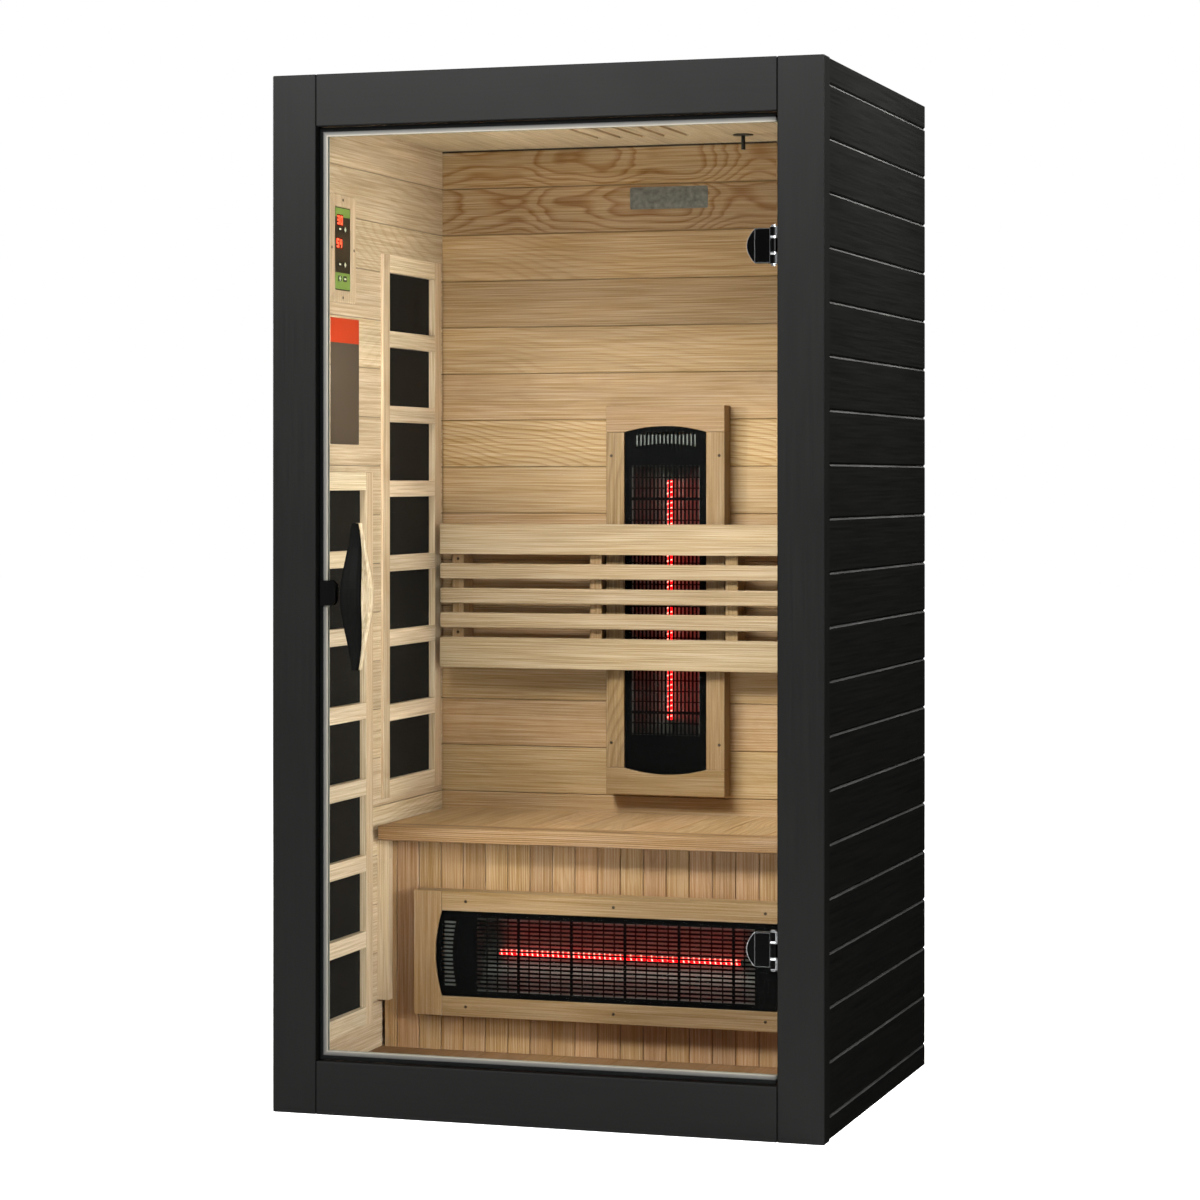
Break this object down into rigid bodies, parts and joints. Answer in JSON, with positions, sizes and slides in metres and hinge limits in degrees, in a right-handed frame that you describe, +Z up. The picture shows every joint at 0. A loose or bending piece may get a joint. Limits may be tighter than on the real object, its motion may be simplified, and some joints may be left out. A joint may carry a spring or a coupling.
{
  "type": "infrared sauna cabin",
  "caption": "Upright timber infrared sauna cabin with black boarded walls, an outward-swinging glass door, a bench with backrest, glowing tube heaters and carbon wall heaters.",
  "frame": {"origin": "on the floor, under the middle of the cabin's footprint", "axes": "+Z up, -Y out of the glass door, +X to the right of someone who faces the door"},
  "size_m": [1.04, 0.8793, 1.9],
  "materials": {
    "black_paint": "satin black paint over boards",
    "softwood": "unfinished planed softwood",
    "carbon": "matt black carbon film",
    "black_steel": "satin black coating",
    "gloss_black": "gloss black",
    "reflector": "bright polished",
    "quartz_tube": "glowing red quartz tube with ceramic caps",
    "black_plastic": "moulded",
    "key_plastic": "moulded, green",
    "clear_vinyl": "translucent flexible vinyl",
    "door_glass": "clear tempered glass, polished edges"
  },
  "bodies": {
    "cabin": {"left_stile": "black_paint", "right_stile": "black_paint", "top_rail": "black_paint", "bottom_rail": "black_paint", "left_cladding": "black_paint", "right_cladding": "black_paint", "back_cladding": "black_paint", "roof_cover": "black_paint", "left_lining": "softwood", "right_lining": "softwood", "back_lining": "softwood", "floor_panel": "softwood", "ceiling_panel": "softwood", "bench_top": "softwood", "bench_front_panel": "softwood", "bench_support_left": "softwood", "bench_support_right": "softwood", "backrest_frame": "softwood", "backrest_slat_upper": "softwood", "backrest_slat_middle": "softwood", "backrest_slat_lower": "softwood", "back_heater_frame": "softwood", "calf_heater_frame": "softwood", "left_rear_panel_frame": "softwood", "left_front_panel_frame": "softwood", "right_rear_panel_frame": "softwood", "right_front_panel_frame": "softwood", "control_bezel": "softwood", "left_rear_carbon_sheet": "carbon", "left_front_carbon_sheet": "carbon", "right_rear_carbon_sheet": "carbon", "right_front_carbon_sheet": "carbon", "back_heater_grille": "black_steel", "calf_heater_grille": "black_steel", "upper_hinge_leaf": "gloss_black", "lower_hinge_leaf": "gloss_black", "upper_hinge_pin": "gloss_black", "lower_hinge_pin": "gloss_black", "back_heater_reflector": "reflector", "calf_heater_reflector": "reflector", "back_heater_tube": "quartz_tube", "calf_heater_tube": "quartz_tube", "control_panel": "black_plastic", "control_box": "black_plastic", "cable_gland": "black_plastic", "temperature_sensor": "black_plastic", "catch_magnet": "black_plastic"},
    "door": {"door_glass": "door_glass", "door_seal": "clear_vinyl", "handle_outer": "black_paint", "handle_inner": "softwood", "catch_clip": "gloss_black", "upper_hinge_clamp": "gloss_black", "lower_hinge_clamp": "gloss_black"},
    "timer_down_key": {"timer_down_key": "key_plastic"},
    "timer_up_key": {"timer_up_key": "key_plastic"},
    "heat_down_key": {"heat_down_key": "key_plastic"},
    "heat_up_key": {"heat_up_key": "key_plastic"},
    "power_key": {"power_key": "key_plastic"},
    "light_key": {"light_key": "key_plastic"}
  },
  "joints": [
    {"name": "door_hinge", "type": "hinge", "parent": "cabin", "child": "door", "pos_m": [0.427, -0.421, 0.95], "axis": [0, 0, 1], "range_deg": [0, 110]},
    {"name": "timer_down_press", "type": "slide", "parent": "cabin", "child": "timer_down_key", "axis": [-1, 0, 0], "range_m": [0, 0.0008], "stiffness_N_per_m": 400},
    {"name": "timer_up_press", "type": "slide", "parent": "cabin", "child": "timer_up_key", "axis": [-1, 0, 0], "range_m": [0, 0.0008], "stiffness_N_per_m": 400},
    {"name": "heat_down_press", "type": "slide", "parent": "cabin", "child": "heat_down_key", "axis": [-1, 0, 0], "range_m": [0, 0.0008], "stiffness_N_per_m": 400},
    {"name": "heat_up_press", "type": "slide", "parent": "cabin", "child": "heat_up_key", "axis": [-1, 0, 0], "range_m": [0, 0.0008], "stiffness_N_per_m": 400},
    {"name": "power_press", "type": "slide", "parent": "cabin", "child": "power_key", "axis": [-1, 0, 0], "range_m": [0, 0.0008], "stiffness_N_per_m": 400},
    {"name": "light_press", "type": "slide", "parent": "cabin", "child": "light_key", "axis": [-1, 0, 0], "range_m": [0, 0.0008], "stiffness_N_per_m": 400}
  ]
}
